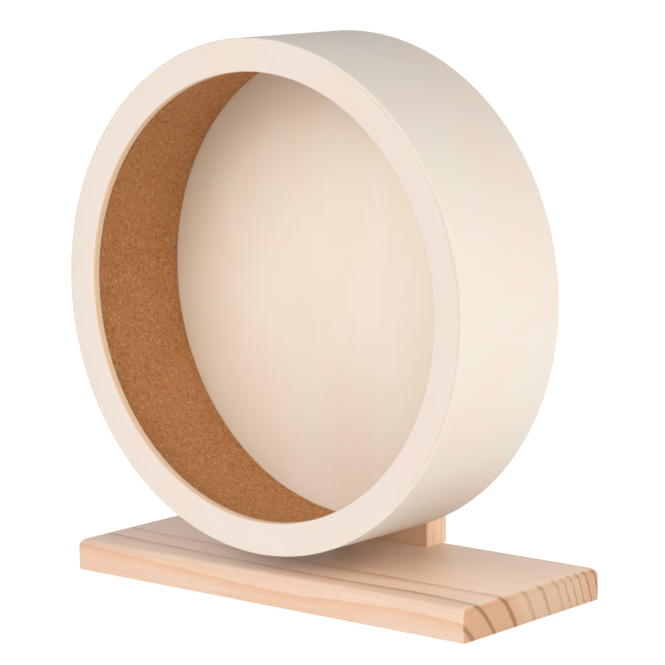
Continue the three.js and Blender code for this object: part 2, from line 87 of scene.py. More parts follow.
# Shallow holes in the board's foot that show the screws' heads: how far each clears the head all round, and how
# far above the head's face it ends
SCREW_NODES = ("post_screw_left", "post_screw_right")
SCREW_SIDE_ROOM = 0.15
SCREW_TOP_ROOM = 0.12

# Wheel
AXLE = next(joint["pos_m"] for joint in frame["joints"] if joint["name"] == "wheel_spin")
AXLE_Z = millimetres(AXLE[2])
(_, DRUM_FRONT, _), (WALL_OUTER, DRUM_BACK, _) = node_box("drum_wall")
PLATE_OUTER, RING_BACK, _ = node_box("front_ring")[1]
DISC_FRONT = node_box("back_disc")[0][1]
(_, CORK_FRONT, _), (_, CORK_BACK, _) = node_box("cork_lining")
GLUE_GAP = 0.3
WALL_INNER = PLATE_OUTER + GLUE_GAP
WALL_EASE = 0.5
WALL_SETBACK = 0.04
RING_INNER = 122.0
RING_EASE = 0.6
CORK_INNER = 132.2
CORK_OUTER = PLATE_OUTER - GLUE_GAP
CORK_UNEVEN = 0.12
CORK_JOINT = 0.4
CORK_JOINT_ANGLE = 20.0
CORK_SEED = 11

# Beads of glue in the gap round the ring and the disc: how far each is from the drum's end, and how long
BEAD_OVERLAP = 0.02
BEAD_EASE = 0.08
FRONT_BEAD_SETBACK = 0.05
REAR_BEAD_SETBACK = 0.15
BEAD_REACH = 1.5

# Bolt, nut and washers
WASHER_BORE = 4.15
WASHER_EASE = 0.18
BOLT_HEAD = 5.3
SHANK_SETBACK = 1.0
THREAD_PITCH = 1.25
THREAD_ROOT = 3.35
THREAD_CREST = 3.98
THREAD_LEAD_IN = 0.6
THREAD_FLANK = 1.25
THREAD_TAPER = 1.0
THREAD_TAPER_SLOPE = 0.95
HEXAGON_CHAMFER = math.radians(30)
HEXAGON_CHAMFER_SHARE = 0.48
HEXAGON_LEVELS = (0.0, 0.12, 0.3, 0.5, 0.8)
NUT_HEXAGON = 5.6
NUT_BORE = 4.15
COLLAR_OUTER = 5.8
COLLAR_INNER = 4.95
COLLAR_ROUND = 0.5
COLLAR_LIP = 0.15
COLLAR_WEB = 0.4
INSERT_BORE = 4.1
INSERT_OUTER = 4.93
INSERT_EASE = 0.2

# Angle from which an edge of a CAD piece stays sharp, in degrees
CAD_CREASE = 32

# Facets
EASE_STEPS = 5
RING_EASE_STEPS = 4
LIP_STEPS = 3
BEAD_STEPS = 2
DRUM_STEPS = 288
SMALL_STEPS = 72
HEXAGON_STEPS = 144
THREAD_STEPS = 48
THREAD_ROWS = 12
HOLE_STEPS = 32
CORNER_STEPS = 6
BOARD_ROUND_STEPS = 14
BOARD_LONGEST_SIDE = 12.0
POST_EASE_STEPS = 5
POST_CORNER_STEPS = 12
CORK_STEPS = 720
CORK_ROWS = 40


# ---------------------------------------------------------------- mesh helpers


def add_piece(name, bm, material, body, replaced=(), crease=35.0):
    """A piece made of a bmesh in mm: smooth, with sharp creases from that angle on, riding on a body."""
    bmesh.ops.recalc_face_normals(bm, faces=bm.faces)
    bmesh.ops.scale(bm, vec=(MM, MM, MM), verts=bm.verts)
    mesh = bpy.data.meshes.new(name)
    bm.to_mesh(mesh)
    bm.free()
    mesh.shade_smooth()
    mesh.set_sharp_from_angle(angle=math.radians(crease))
    mesh.materials.append(material)
    obj = bpy.data.objects.new(name, mesh)
    bpy.context.scene.collection.objects.link(obj)
    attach(obj, body)
    if replaced:
        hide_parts(*replaced)


def turn(steps):
    """The angles of evenly spaced points round a circle."""
    return [2 * math.pi * i / steps for i in range(steps)]


def arc(x, y, radius, start, end, steps):
    """Points on a circle about (x, y), from one angle to another in degrees."""
    angles = [math.radians(start + (end - start) * i / steps) for i in range(steps + 1)]
    return [(x + radius * math.cos(a), y + radius * math.sin(a)) for a in angles]


def axle_point(bm, radius, y, angle):
    """A new vertex at that distance from the axle."""
    return bm.verts.new((radius * math.cos(angle), y, AXLE_Z + radius * math.sin(angle)))


def axle_loop(bm, radius, y, steps):
    """A new circle of vertices about the axle."""
    return [axle_point(bm, radius, y, a) for a in turn(steps)]


def lathe(profile, steps):
    """A bmesh turned about the axle from points (radius, y). The profile closes on itself, or runs from the
    axis back to it."""
    bm = bmesh.new()
    rings = []
    for radius, y in profile:
        rings.append(axle_loop(bm, radius, y, steps) if radius else [bm.verts.new((0, y, AXLE_Z))])
    closed = len(rings[0]) > 1
    following = rings[1:] + rings[:1] if closed else rings[1:]
    for a, b in zip(rings, following):
        for i in range(steps):
            j = (i + 1) % steps
            corners = [a[i % len(a)], a[j % len(a)], b[j % len(b)], b[i % len(b)]]
            unique = list(dict.fromkeys(corners))
            if len(unique) > 2:
                bm.faces.new(unique)
    return bm


def rounded_tube(inner, outer, y0, y1, ease, steps=LIP_STEPS):
    """Profile of a tube with its four edges eased."""
    return (
        arc(inner + ease, y0 + ease, ease, 180, 270, steps)
        + arc(outer - ease, y0 + ease, ease, 270, 360, steps)
        + arc(outer - ease, y1 - ease, ease, 0, 90, steps)
        + arc(inner + ease, y1 - ease, ease, 90, 180, steps)
    )


def loft(bm, loops):
    """Faces between loops of vertices; each loop closes on itself."""
    for a, b in zip(loops, loops[1:]):
        for i in range(len(a)):
            j = (i + 1) % len(a)
            bm.faces.new((a[i], a[j], b[j], b[i]))


def fill(bm, *loops):
    """A flat face inside the first loop, with the others as holes in it."""
    edges = []
    for loop in loops:
        for v, w in zip(loop, loop[1:] + loop[:1]):
            edges.append(bm.edges.get((v, w)) or bm.edges.new((v, w)))
    bmesh.ops.triangle_fill(bm, edges=edges, use_beauty=True)


def rounded_rectangle(half_x, half_y, radius, steps):
    """Points round a rectangle about the origin, counter-clockwise from the lower right corner."""
    points = []
    for corner, (side_x, side_y) in enumerate([(1, -1), (1, 1), (-1, 1), (-1, -1)]):
        centre_x = side_x * (half_x - radius)
        centre_y = side_y * (half_y - radius)
        points += arc(centre_x, centre_y, radius, 90 * corner - 90, 90 * corner, steps)
    return points


def subdivided(points, longest):
    """The same closed outline with no side longer than the given length."""
    out = []
    for (x, y), (nx, ny) in zip(points, points[1:] + points[:1]):
        count = max(1, math.ceil(math.hypot(nx - x, ny - y) / longest))
        out += [(x + (nx - x) * k / count, y + (ny - y) * k / count) for k in range(count)]
    return out


def quarter(steps):
    """The angles of a quarter turn, both ends included."""
    return [math.pi / 2 * i / steps for i in range(steps + 1)]


# ---------------------------------------------------------------- material helpers


class Graph:
    """A material's node tree, with short calls that take numbers, colours or other nodes' outputs."""

    def __init__(self, name):
        self.material = bpy.data.materials.new(name)
        self.material.use_nodes = True
        self.tree = self.material.node_tree
        self.shader = self.tree.nodes["Principled BSDF"]
        self.place = self.add("ShaderNodeTexCoord")

    def add(self, kind, inputs=None, **settings):
        node = self.tree.nodes.new(kind)
        for key, value in settings.items():
            setattr(node, key, value)
        for key, value in (inputs or {}).items():
            self.put(node.inputs[key], value)
        return node

    def put(self, socket, value):
        if isinstance(value, bpy.types.NodeSocket):
            self.tree.links.new(value, socket)
        elif isinstance(value, (tuple, list)) and len(value) == 3 and socket.type == "RGBA":
            socket.default_value = (*value, 1)
        else:
            socket.default_value = value

    def math(self, operation, a, b=0.0, c=0.0, clamp=False):
        inputs = {0: a, 1: b, 2: c}
        return self.add("ShaderNodeMath", inputs, operation=operation, use_clamp=clamp).outputs[0]

    def plus(self, first, *others):
        for other in others:
            first = self.math("ADD", first, other)
        return first

    def minus(self, a, b):
        return self.math("SUBTRACT", a, b)

    def times(self, first, *others):
        for other in others:
            first = self.math("MULTIPLY", first, other)
        return first

    def size(self, value):
        """The number without its sign."""
        return self.math("ABSOLUTE", value)

    def vector(self, operation, a, b=(0, 0, 0)):
        node = self.add("ShaderNodeVectorMath", {0: a, 1: b}, operation=operation)
        return node.outputs["Value" if operation in ("LENGTH", "DOT_PRODUCT") else "Vector"]

    def split(self, vector):
        node = self.add("ShaderNodeSeparateXYZ", {0: vector})
        return node.outputs[0], node.outputs[1], node.outputs[2]

    def join(self, x, y, z):
        return self.add("ShaderNodeCombineXYZ", {0: x, 1: y, 2: z}).outputs[0]

    def place_mm(self):
        """The place on the part at rest, in mm."""
        place = self.vector("SCALE", self.place.outputs["Object"])
        self.put(place.node.inputs["Scale"], 1 / MM)
        return place

    def place_from_axle(self):
        """The place in mm, with the axle's height as zero."""
        return self.vector("SUBTRACT", self.place_mm(), (0.0, 0.0, AXLE_Z))

    def polar(self, x, z):
        """The distance from the axle and the angle round it."""
        return self.vector("LENGTH", self.join(x, z, 0.0)), self.math("ARCTAN2", z, x)

    def facing(self, axis):
        """How much the surface faces one of the axes, either way: 0 to 1."""
        return self.size(self.split(self.place.outputs["Normal"])["XYZ".index(axis)])

    def smooth(self, value, low, high, to_low=0.0, to_high=1.0):
        """Goes smoothly from to_low to to_high as value goes from low to high."""
        inputs = {"Value": value, "From Min": low, "From Max": high, "To Min": to_low, "To Max": to_high}
        return self.add("ShaderNodeMapRange", inputs, interpolation_type="SMOOTHSTEP").outputs["Result"]

    def scale(self, value, low, high, to_low=0.0, to_high=1.0):
        """Goes evenly from to_low to to_high as value goes from low to high, and stops there."""
        inputs = {"Value": value, "From Min": low, "From Max": high, "To Min": to_low, "To Max": to_high}
        return self.add("ShaderNodeMapRange", inputs).outputs["Result"]

    def noise(self, vector, scale=1.0, detail=2.0, rough=0.5, twist=0.0):
        inputs = {"Vector": vector, "Scale": scale, "Detail": detail, "Roughness": rough, "Distortion": twist}
        return self.add("ShaderNodeTexNoise", inputs).outputs["Fac"]

    def grain(self, spot, fineness, detail=2.0, rough=0.5, twist=0.0):
        """Noise whose fineness differs between the three directions."""
        return self.noise(self.vector("MULTIPLY", spot, fineness), 1.0, detail, rough, twist)

    def cells(self, vector, scale=1.0, feature="F1", output="Distance"):
        inputs = {"Vector": vector, "Scale": scale}
        return self.add("ShaderNodeTexVoronoi", inputs, feature=feature).outputs[output]

    def spots(self, spot, fineness):
        """The distance to the nearest of many scattered points, drawn out as the grain is."""
        return self.cells(self.vector("MULTIPLY", spot, fineness))

    def mix(self, share, a, b):
        """The colour a where share is 0 and b where it is 1."""
        node = self.add("ShaderNodeMix", data_type="RGBA")
        colours = [s for s in node.inputs if s.type == "RGBA"]
        self.put(node.inputs[0], share)
        self.put(colours[0], a)
        self.put(colours[1], b)
        return next(s for s in node.outputs if s.type == "RGBA")

    def mix_value(self, share, a, b):
        """The number a where share is 0 and b where it is 1."""
        node = self.add("ShaderNodeMix", data_type="FLOAT")
        self.put(node.inputs[0], share)
        self.put(node.inputs[2], a)
        self.put(node.inputs[3], b)
        return node.outputs[0]

    def ramp(self, value, stops, interpolation="LINEAR"):
        node = self.add("ShaderNodeValToRGB", {"Fac": value})
        node.color_ramp.interpolation = interpolation
        elements = node.color_ramp.elements
        while len(elements) < len(stops):
            elements.new(1.0)
        for element, (position, colour) in zip(elements, stops):
            element.position = position
            element.color = (*colour, 1) if isinstance(colour, tuple) else (colour, colour, colour, 1)
        return node.outputs["Color"]

    def bump(self, height, distance, strength):
        inputs = {"Height": height, "Distance": distance, "Strength": strength}
        return self.add("ShaderNodeBump", inputs).outputs["Normal"]

    def surface(self, **sockets):
        for key, value in sockets.items():
            self.put(self.shader.inputs[key.replace("_", " ")], value)
        return self.material


def srgb(red, green, blue):
    """A colour given as the 0 to 255 that a screen shows, in the linear values that the nodes take."""

    def linear(c):
        c /= 255
        return c / 12.92 if c <= 0.04045 else ((c + 0.055) / 1.055) ** 2.4

    return linear(red), linear(green), linear(blue)


# ---------------------------------------------------------------- pine


# Board and post seen along the grain, as (most of it, the warmer streaks, the rosier patches)
BOARD_TONES = [srgb(212, 194, 176), srgb(210, 175, 142), srgb(211, 177, 155)]
POST_TONES = [srgb(226, 195, 160), srgb(222, 182, 141), srgb(218, 175, 134)]
PINE_BLUSH = srgb(218, 170, 142)
# Painted light: a paler tone mixed onto the faces that look along one axis (the board's top and foot, the post's
# front and back), standing in for the light they get
PINE_PAINTED_LIGHT = srgb(247, 219, 192)
END_ORANGE = srgb(188, 143, 106)
END_PALE = srgb(190, 162, 132)
END_ROSY = srgb(192, 152, 122)
END_DARK = srgb(172, 134, 102)
END_SOFT = srgb(166, 120, 84)
END_LINE = srgb(134, 86, 52)
RING_SOFT = srgb(204, 149, 108)
RING_DARK = srgb(140, 92, 62)
DUCT = srgb(138, 92, 62)

# Growth rings of the pine: distance from the pith in mm, how strong its line is on a sawn end, and how strong
# its thin dark line and its soft band are along the grain
PINE_RINGS = [
    (78.0, 0.85, 0.05, 0.8),
    (92.2, 1.0, 1.0, 0.85),
    (109.0, 1.0, 0.85, 0.75),
    (124.0, 0.35, 0.08, 0.14),
    (136.5, 0.5, 0.08, 0.14),
    (148.0, 0.35, 0.08, 0.14),
    (154.0, 0.6, 0.08, 0.16),
    (160.0, 0.65, 0.08, 0.16),
    (166.0, 0.8, 0.1, 0.2),
    (172.4, 1.0, 0.1, 0.25),
    (179.3, 1.0, 0.1, 0.25),
]
RING_NEAR = 60.0
RING_FAR = 200.0

# How far each ring strays from a circle about the pith: place along the piece, then the swelling of the rings
# near the pith, further out, and beyond that, all in mm
BOARD_BOW = [
    (-140.0, 1.0, -1.3, 1.5),
    (-110.0, 1.5, -0.2, 2.6),
    (-78.0, 2.1, 0.7, 2.6),
    (-50.0, 3.0, 1.3, 3.2),
    (-12.0, 3.3, 1.1, 2.0),
    (30.0, 3.3, 1.4, 2.4),
    (50.0, 1.8, 0.4, 1.7),
    (70.0, 0.5, -0.65, 1.1),
    (110.0, -0.4, -1.4, 0.6),
    (140.0, -0.2, -0.6, -0.2),
]
POST_BOW = [
    (18.0, 0.0, 0.0, 0.0),
    (80.0, 2.5, 2.0, 1.0),
    (140.0, 0.5, 1.5, 2.0),
    (208.0, -2.5, -1.5, -0.5),
]
BOW_LIMIT = 5.0
MIDDLE_RINGS = (80.0, 88.0)
OUTER_RINGS = (94.0, 106.0)

# Fineness of each texture per mm, along the grain and in the two directions across it
PINE_WANDER = (0.02, 0.008, 0.008)
PINE_FRAY = (0.16, 0.7, 0.7)
PINE_PATCHES = (0.05, 0.2, 0.2)
PINE_FIBRES = (0.05, 2.6, 2.6)
PINE_STREAKS = (0.012, 0.32, 0.32)
PINE_CLOUDS = (0.02, 0.05, 0.05)
PINE_PORES = (0.9, 2.4, 2.4)
PINE_TORN = (0.6, 0.35, 0.5)
PINE_BLUSHES = (0.008, 0.45, 0.45)
PINE_DUCTS = (0.07, 0.6, 0.6)
PINE_DUCT_GROUPS = (0.03, 0.12, 0.12)
PINE_TEARS = (0.4, 0.9, 0.9)


def pith_distance(g, spot, end, length, u, v, pith, drift, bow, wander):
    """How far a point is from the tree's centre in mm, as its rings see it: they wander slowly along the
    grain, swell as bow says, and are a little ragged, most of all on the sawn ends."""
    slow = g.vector("MULTIPLY", spot, PINE_WANDER)
    elsewhere = g.vector("ADD", slow, (31.0, 7.0, 3.0))
    stray_u, stray_v = (g.scale(g.noise(p, 1.0, 3.0), 0.3, 0.7, -wander, wander) for p in (slow, elsewhere))
    du = g.plus(g.minus(u, g.math("MULTIPLY_ADD", length, drift, pith[0])), stray_u)
    dv = g.plus(g.minus(v, pith[1]), stray_v)
    straight = g.vector("LENGTH", g.join(du, dv, 0.0))

    first, last = bow[0][0], bow[-1][0]
    stops = []
    for place, *swells in bow:
        stops.append(((place - first) / (last - first), tuple(0.5 + s / (2 * BOW_LIMIT) for s in swells)))
    near, middle, far = g.split(g.ramp(g.scale(length, first, last), stops, "CARDINAL"))
    swell = g.plus(near, g.times(g.minus(middle, near), g.smooth(straight, *MIDDLE_RINGS)))
    swell = g.plus(swell, g.times(g.minus(far, middle), g.smooth(straight, *OUTER_RINGS)))

    ragged = g.scale(g.grain(spot, PINE_FRAY, 4.0, 0.7), 0.0, 1.0, -1.0, 1.0)
    fray = g.times(ragged, g.scale(end, 0.0, 1.0, 1.0, 1.9))
    return g.plus(straight, fray, g.scale(swell, 0.0, 1.0, -BOW_LIMIT, BOW_LIMIT))


def ring_numbers(g, radius):
    """For a distance from the pith: its share of the way out, how far it is through its ring (0 to 1), and
    that ring's three strengths from PINE_RINGS."""
    span = RING_FAR - RING_NEAR
    share = g.math("DIVIDE", g.minus(radius, RING_NEAR), span)
    edges = [(row[0] - RING_NEAR) / span for row in PINE_RINGS]
    count = len(edges) + 1
    numbers = [(edge, (i + 1) / count) for i, edge in enumerate(edges)]
    number = g.times(g.ramp(share, [(0.0, 0.0), *numbers, (1.0, 1.0)]), count)
    strengths = []
    for start, (_, *strength) in zip([0.0, *edges], PINE_RINGS):
        strengths.append((start + 0.001, tuple(strength)))
    return share, g.math("FRACT", number), g.split(g.ramp(share, strengths, "CONSTANT"))


def pine(name, along, pith, drift, bow, wander, tones, paling, ring_gain, seed):
    """Pine with its grain along one axis ("X" or "Z"). pith is where the tree's centre runs, as the other two
    coordinates in mm, and drift is how far it moves in the first of them over each mm along. bow is how far
    the rings swell along the piece, and wander is how far they stray at random, in mm. tones is (pale, warm,
    rosy) for the wood seen along its grain, paling is how much of the pale one there is more at the far end,
    and ring_gain raises the rings along the grain."""
    g = Graph(name)
    x, y, z = g.split(g.place_mm())
    length, u, v, flat = (x, y, z, "Z") if along == "X" else (z, x, y, "Y")
    spot = g.join(g.plus(length, seed), u, v)
    end = g.smooth(g.facing(along), 0.25, 0.9)
    radius = pith_distance(g, spot, end, length, u, v, pith, drift, bow, wander)
    share, phase, (on_end, dark_along, soft_along) = ring_numbers(g, radius)
    dark_along = g.math("MULTIPLY", dark_along, ring_gain, clamp=True)
    soft_along = g.math("MULTIPLY", soft_along, ring_gain, clamp=True)

    # Each ring darkens to a line at its outer side; the line closes softly over the first of the next ring.
    # On the sawn ends the lines are crisp; along the grain they are soft and come and go.
    closing = g.smooth(phase, 0.0, 0.05, 0.8, 0.0)
    patchy = g.scale(g.grain(spot, PINE_PATCHES, 4.0, 0.65), 0.25, 0.6, 0.35, 1.0)
    line = g.math("MAXIMUM", g.math("POWER", phase, 12.0), closing)
    band = g.math("MAXIMUM", g.math("POWER", phase, 5.0), closing)
    crisp = g.math("MAXIMUM", g.smooth(phase, 0.81, 0.91), g.times(closing, 0.8))
    dark_share = g.mix_value(end, g.times(line, dark_along, patchy, 0.72), g.times(crisp, on_end, 0.85))
    soft_share = g.mix_value(end, g.times(band, soft_along, 0.8), g.times(band, on_end, 0.2))

    fibres = g.grain(spot, PINE_FIBRES, 4.0, 0.6)
    streaks = g.grain(spot, PINE_STREAKS, 3.0, 0.55)
    clouds = g.grain(spot, PINE_CLOUDS, 3.0)
    pores = g.grain(spot, PINE_PORES, 3.0, 0.75)
    torn = g.grain(spot, PINE_TORN, 4.0, 0.7)
    blush = g.grain(spot, PINE_BLUSHES)

    pale, warm, rosy = tones
    along_grain = g.mix(g.smooth(streaks, 0.35, 0.7), pale, warm)
    along_grain = g.mix(g.smooth(clouds, 0.35, 0.65, 0.0, 0.8), along_grain, rosy)
    along_grain = g.mix(g.smooth(blush, 0.5, 0.72, 0.0, 0.45), along_grain, PINE_BLUSH)
    along_grain = g.mix(g.scale(length, bow[0][0], bow[-1][0], 0.0, paling), along_grain, pale)
    # Painted light: faces that look along flat (the board's top and foot, the post's front and back) are turned up
    # to 0.4 of the way to a paler tone, standing in for the light and sheen they get
    along_grain = g.mix(g.smooth(g.facing(flat), 0.3, 0.9, 0.0, 0.4), along_grain, PINE_PAINTED_LIGHT)
    across_grain = g.mix(g.smooth(share, 0.34, 0.42), END_ORANGE, END_PALE)
    across_grain = g.mix(g.smooth(share, 0.74, 0.82, 0.0, 0.8), across_grain, END_ORANGE)
    across_grain = g.mix(g.smooth(torn, 0.4, 0.7, 0.0, 0.5), across_grain, END_ROSY)
    across_grain = g.mix(g.smooth(pores, 0.4, 0.75, 0.0, 0.5), across_grain, END_DARK)
    colour = g.mix(end, along_grain, across_grain)
    colour = g.mix(soft_share, colour, g.mix(end, RING_SOFT, END_SOFT))
    colour = g.mix(dark_share, colour, g.mix(end, RING_DARK, END_LINE))
    grain_share = g.times(g.smooth(fibres, 0.3, 0.75), g.scale(end, 0.0, 1.0, 0.24, 0.06))
    colour = g.mix(grain_share, colour, RING_SOFT)

    # Short dark resin ducts along the grain.
    duct = g.smooth(g.spots(spot, PINE_DUCTS), 0.05, 0.14, 1.0, 0.0)
    grouped = g.smooth(g.grain(spot, PINE_DUCT_GROUPS, 1.0), 0.44, 0.54)
    duct = g.times(duct, grouped, g.minus(1.0, end))
    colour = g.mix(g.times(duct, 0.5), colour, DUCT)

    # Torn marks where the growth rings meet the rounded edge of a sawn end.
    rim = g.times(end, g.minus(1.0, end), 4.0)
    tear = g.smooth(g.grain(spot, PINE_TEARS, 3.0, 0.7), 0.36, 0.6, 0.15, 1.0)
    mark = g.times(rim, g.smooth(phase, 0.7, 0.95), tear)
    colour = g.mix(g.times(mark, 0.55), colour, END_LINE)

    rough = g.mix_value(end, g.scale(g.plus(fibres, line), 0.3, 1.4, 0.46, 0.36), 0.62)
    height = g.minus(g.times(fibres, 0.6), g.times(phase, 0.4))
    height = g.minus(height, g.times(duct, 1.5))
    height = g.plus(height, g.times(torn, end, 1.6))
    normal = g.bump(height, 0.00012, 0.35)
    return g.surface(Base_Color=colour, Roughness=rough, Normal=normal, Specular_IOR_Level=0.5)


BOARD_PINE = pine(
    "board_pine",
    along="X",
    pith=(-108.0, -48.0),
    drift=-0.0286,
    bow=BOARD_BOW,
    wander=0.35,
    tones=BOARD_TONES,
    paling=0.4,
    ring_gain=1.0,
    seed=0.0,
)
POST_PINE = pine(
    "post_pine",
    along="Z",
    pith=(-18.0, -96.0),
    drift=0.03,
    bow=POST_BOW,
    wander=1.6,
    tones=POST_TONES,
    paling=0.0,
    ring_gain=4.0,
    seed=400.0,
)


# ---------------------------------------------------------------- plywood and beech


# Face veneers, as (most of it, the warmer streaks, the rosier patches)
WALL_FACE = [srgb(209, 199, 188), srgb(207, 202, 189), srgb(213, 196, 184)]
RING_FACE = [srgb(210, 199, 189), srgb(210, 197, 183), srgb(212, 196, 184)]
DISC_FACE = [srgb(226, 216, 200), srgb(225, 212, 193), srgb(226, 211, 193)]
VENEER_FLECK = srgb(196, 168, 142)
PLY_EDGE = srgb(240, 212, 180)
PLY_CORE = srgb(214, 188, 158)
PLY_GLUE = srgb(150, 112, 76)
PLY_COUNT = 3

# Fineness of each texture per mm, across the grain, along it and through the sheet
VENEER_FIGURE = (0.03, 0.012, 0.03)
VENEER_CLOUDS = (0.03, 0.02, 0.02)
VENEER_FIBRES = (1.6, 0.06, 1.0)
VENEER_FLECKS = (0.45, 0.09, 0.45)
VENEER_FLECK_GROUPS = (0.06, 0.03, 0.06)


def veneer(name, faces, sheet, layers, core_share, figure_share, seed):
    """Pale plywood. sheet is "flat" for a piece cut from a board that lies across Y, with upright grain, or
    "bent" for one bent round the axle, with grain along Y. layers is where the sheet begins and ends, in mm
    along Y or from the axle, core_share is how much the middle one of its three plies differs, and
    figure_share is how much of the wood's figure shows."""
    g = Graph(name)
    x, y, z = g.split(g.place_from_axle())
    if sheet == "flat":
        across, along, depth = x, z, y
    else:
        depth, angle = g.polar(x, z)
        across, along = g.times(angle, WALL_OUTER), y
    spot = g.join(g.plus(across, seed), along, depth)

    fibres = g.grain(spot, VENEER_FIBRES, 4.0, 0.6)
    pale, warm, rosy = faces
    face = g.mix(g.smooth(g.grain(spot, VENEER_FIGURE, 3.0, 0.55, 0.6), 0.35, 0.7), pale, warm)
    face = g.mix(g.smooth(g.grain(spot, VENEER_CLOUDS), 0.4, 0.7, 0.0, 0.7), face, rosy)
    face = g.mix(g.smooth(fibres, 0.35, 0.8, 0.0, 0.16 * figure_share), face, VENEER_FLECK)
    grouped = g.smooth(g.grain(spot, VENEER_FLECK_GROUPS, 1.0), 0.52, 0.62)
    fleck = g.times(g.smooth(g.spots(spot, VENEER_FLECKS), 0.03, 0.1, 1.0, 0.0), grouped)
    face = g.mix(g.times(fleck, 0.4 * figure_share), face, VENEER_FLECK)
    if sheet == "flat":
        face = g.mix(g.smooth(g.facing("Y"), 0.3, 0.8, 0.85, 0.0), face, PLY_EDGE)

    # Edges: a darker core between two faces, with a thin glue line on each side of it.
    low, high = layers
    half_ply = (high - low) / PLY_COUNT / 2
    wave = g.scale(g.noise(spot, 0.12, 2.0), 0.0, 1.0, -0.12, 0.12)
    from_middle = g.size(g.plus(g.minus(depth, (low + high) / 2), wave))
    core = g.smooth(from_middle, half_ply - 0.05, half_ply + 0.05, 1.0, 0.0)
    glue = g.smooth(g.size(g.minus(from_middle, half_ply)), 0.03, 0.12, 1.0, 0.0)
    core_colour = g.mix(g.smooth(g.noise(spot, 1.8, 3.0, 0.7), 0.3, 0.7, 0.0, 0.5), PLY_CORE, pale)
    colour = g.mix(g.times(core, core_share), face, core_colour)
    colour = g.mix(g.times(glue, 0.6 * core_share), colour, PLY_GLUE)

    rough = g.scale(fibres, 0.2, 0.8, 0.62, 0.5)
    height = g.minus(g.minus(g.times(fibres, 0.5), g.times(fleck, 0.6)), g.times(glue, 0.8))
    normal = g.bump(height, 0.00008, 0.3)
    return g.surface(Base_Color=colour, Roughness=rough, Normal=normal, Specular_IOR_Level=0.3)


WALL_PLY = veneer("wall_plywood", WALL_FACE, "bent", (WALL_INNER, WALL_OUTER), 0.1, 0.3, 0.0)
RING_PLY = veneer("ring_plywood", RING_FACE, "flat", (DRUM_FRONT, RING_BACK), 0.35, 0.3, 500.0)
DISC_PLY = veneer("disc_plywood", DISC_FACE, "flat", (DISC_FRONT, DRUM_BACK), 0.7, 0.4, 900.0)

BEECH_PALE = srgb(222, 184, 146)
BEECH_WARM = srgb(208, 164, 124)
BEECH_FLECK = srgb(160, 112, 76)
BEECH_FIBRE = srgb(186, 138, 100)

# Fineness of each texture per mm, along X, Y and Z
BEECH_RINGS = (0.25, 0.02, 0.08)
BEECH_FLECKS = (0.9, 0.25, 0.9)
BEECH_FIBRES = (2.5, 0.2, 2.5)


def beech(name, seed):
    """Turned beech, grain along Y, with the short dark flecks that mark the wood."""
    g = Graph(name)
    spot = g.vector("ADD", g.place_mm(), (seed, 0.0, 0.0))
    fibres = g.grain(spot, BEECH_FIBRES, 4.0)
    colour = g.mix(g.smooth(g.grain(spot, BEECH_RINGS, 3.0, 0.5, 0.5), 0.35, 0.65), BEECH_PALE, BEECH_WARM)
    colour = g.mix(g.smooth(g.spots(spot, BEECH_FLECKS), 0.1, 0.25, 0.45, 0.0), colour, BEECH_FLECK)
    colour = g.mix(g.smooth(fibres, 0.4, 0.8, 0.0, 0.2), colour, BEECH_FIBRE)
    rough = g.scale(fibres, 0.2, 0.8, 0.6, 0.45)
    normal = g.bump(fibres, 0.0001, 0.3)
    return g.surface(Base_Color=colour, Roughness=rough, Normal=normal, Specular_IOR_Level=0.35)


# ---------------------------------------------------------------- cork, glue, metal and plastic


CORK_DARK = srgb(144, 96, 59)
CORK_BROWN = srgb(177, 119, 71)
CORK_MIDDLE = srgb(197, 139, 89)
CORK_LIGHT = srgb(210, 153, 101)
CORK_PALE = srgb(218, 176, 127)
CORK_CRUMB = srgb(232, 196, 150)
CORK_SEAM = srgb(146, 97, 58)
CORK_BARK = srgb(96, 60, 34)
GRANULES = [(0.0, CORK_DARK), (0.1, CORK_BROWN), (0.4, CORK_MIDDLE), (0.8, CORK_LIGHT), (1.0, CORK_PALE)]
BIG_GRANULES = [(0.0, CORK_BROWN), (1.0, CORK_LIGHT)]
GRANULE_FINENESS = 0.95
BIG_GRANULE_FINENESS = 0.5
SPECK_FINENESS = 0.62


